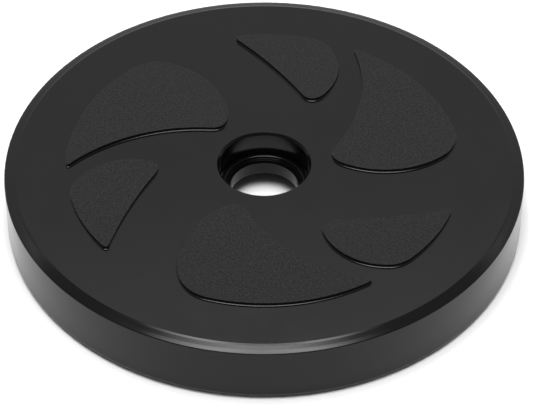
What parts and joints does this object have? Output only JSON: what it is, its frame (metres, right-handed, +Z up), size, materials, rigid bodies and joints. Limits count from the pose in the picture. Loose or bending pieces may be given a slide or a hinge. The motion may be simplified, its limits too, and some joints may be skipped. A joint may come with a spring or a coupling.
{
  "type": "banding wheel",
  "caption": "Low turntable for decorating pots: a round head with a deep skirt and raised grip pads turns on a hidden base, with a bore right through the middle.",
  "frame": {"origin": "on the table, on the wheel's axis, at the level of the feet's soles", "axes": "+Z is up along the axis of rotation; X and Y lie in the table, and a small grip pad lies towards +Y"},
  "size_m": [0.23, 0.23, 0.0305],
  "materials": {
    "enamel": "gloss black enamel",
    "pad": "fine grained, satin",
    "casting": "satin black, slightly rough casting",
    "nut": "gloss black",
    "steel": "ground",
    "ball": "polished",
    "cage": "satin",
    "zinc": "bright zinc plated",
    "foot": "matt"
  },
  "bodies": {
    "base": {"base_plate": "casting", "bearing_inner_ring": "steel", "foot_1": "foot", "foot_2": "foot", "foot_3": "foot", "foot_4": "foot", "foot_screw_1": "zinc", "foot_screw_2": "zinc", "foot_screw_3": "zinc", "foot_screw_4": "zinc", "hub_nut": "nut", "lower_race": "steel", "lower_race_screw_1": "zinc", "lower_race_screw_2": "zinc", "lower_race_screw_3": "zinc"},
    "head": {"bearing_clamp_ring": "steel", "bearing_lower_shield": "zinc", "bearing_outer_ring": "steel", "bearing_upper_shield": "zinc", "clamp_screw_1": "zinc", "clamp_screw_2": "zinc", "clamp_screw_3": "zinc", "grip_pad_large_1": "pad", "grip_pad_large_2": "pad", "grip_pad_large_3": "pad", "grip_pad_small_1": "pad", "grip_pad_small_2": "pad", "grip_pad_small_3": "pad", "upper_race": "steel", "upper_race_screw_1": "zinc", "upper_race_screw_2": "zinc", "upper_race_screw_3": "zinc", "wheel_head": "enamel"},
    "thrust_cage_set": {"thrust_ball_1": "ball", "thrust_ball_10": "ball", "thrust_ball_11": "ball", "thrust_ball_12": "ball", "thrust_ball_2": "ball", "thrust_ball_3": "ball", "thrust_ball_4": "ball", "thrust_ball_5": "ball", "thrust_ball_6": "ball", "thrust_ball_7": "ball", "thrust_ball_8": "ball", "thrust_ball_9": "ball", "thrust_cage": "cage"},
    "hub_cage_set": {"bearing_ball_1": "ball", "bearing_ball_10": "ball", "bearing_ball_2": "ball", "bearing_ball_3": "ball", "bearing_ball_4": "ball", "bearing_ball_5": "ball", "bearing_ball_6": "ball", "bearing_ball_7": "ball", "bearing_ball_8": "ball", "bearing_ball_9": "ball", "bearing_cage": "cage"}
  },
  "joints": [
    {"name": "head_spin", "type": "hinge", "parent": "base", "child": "head", "pos_m": [0, 0, 0.0154], "axis": [0, 0, 1], "continuous": true},
    {"name": "thrust_cage_spin", "type": "hinge", "parent": "base", "child": "thrust_cage_set", "pos_m": [0, 0, 0.0156], "axis": [0, 0, 1], "continuous": true},
    {"name": "hub_cage_spin", "type": "hinge", "parent": "base", "child": "hub_cage_set", "pos_m": [0, 0, 0.0154], "axis": [0, 0, 1], "continuous": true}
  ],
  "couplings": [
    {"joint": "thrust_cage_spin", "follows": "head_spin", "ratio": 0.5},
    {"joint": "hub_cage_spin", "follows": "head_spin", "ratio": 0.5329}
  ]
}
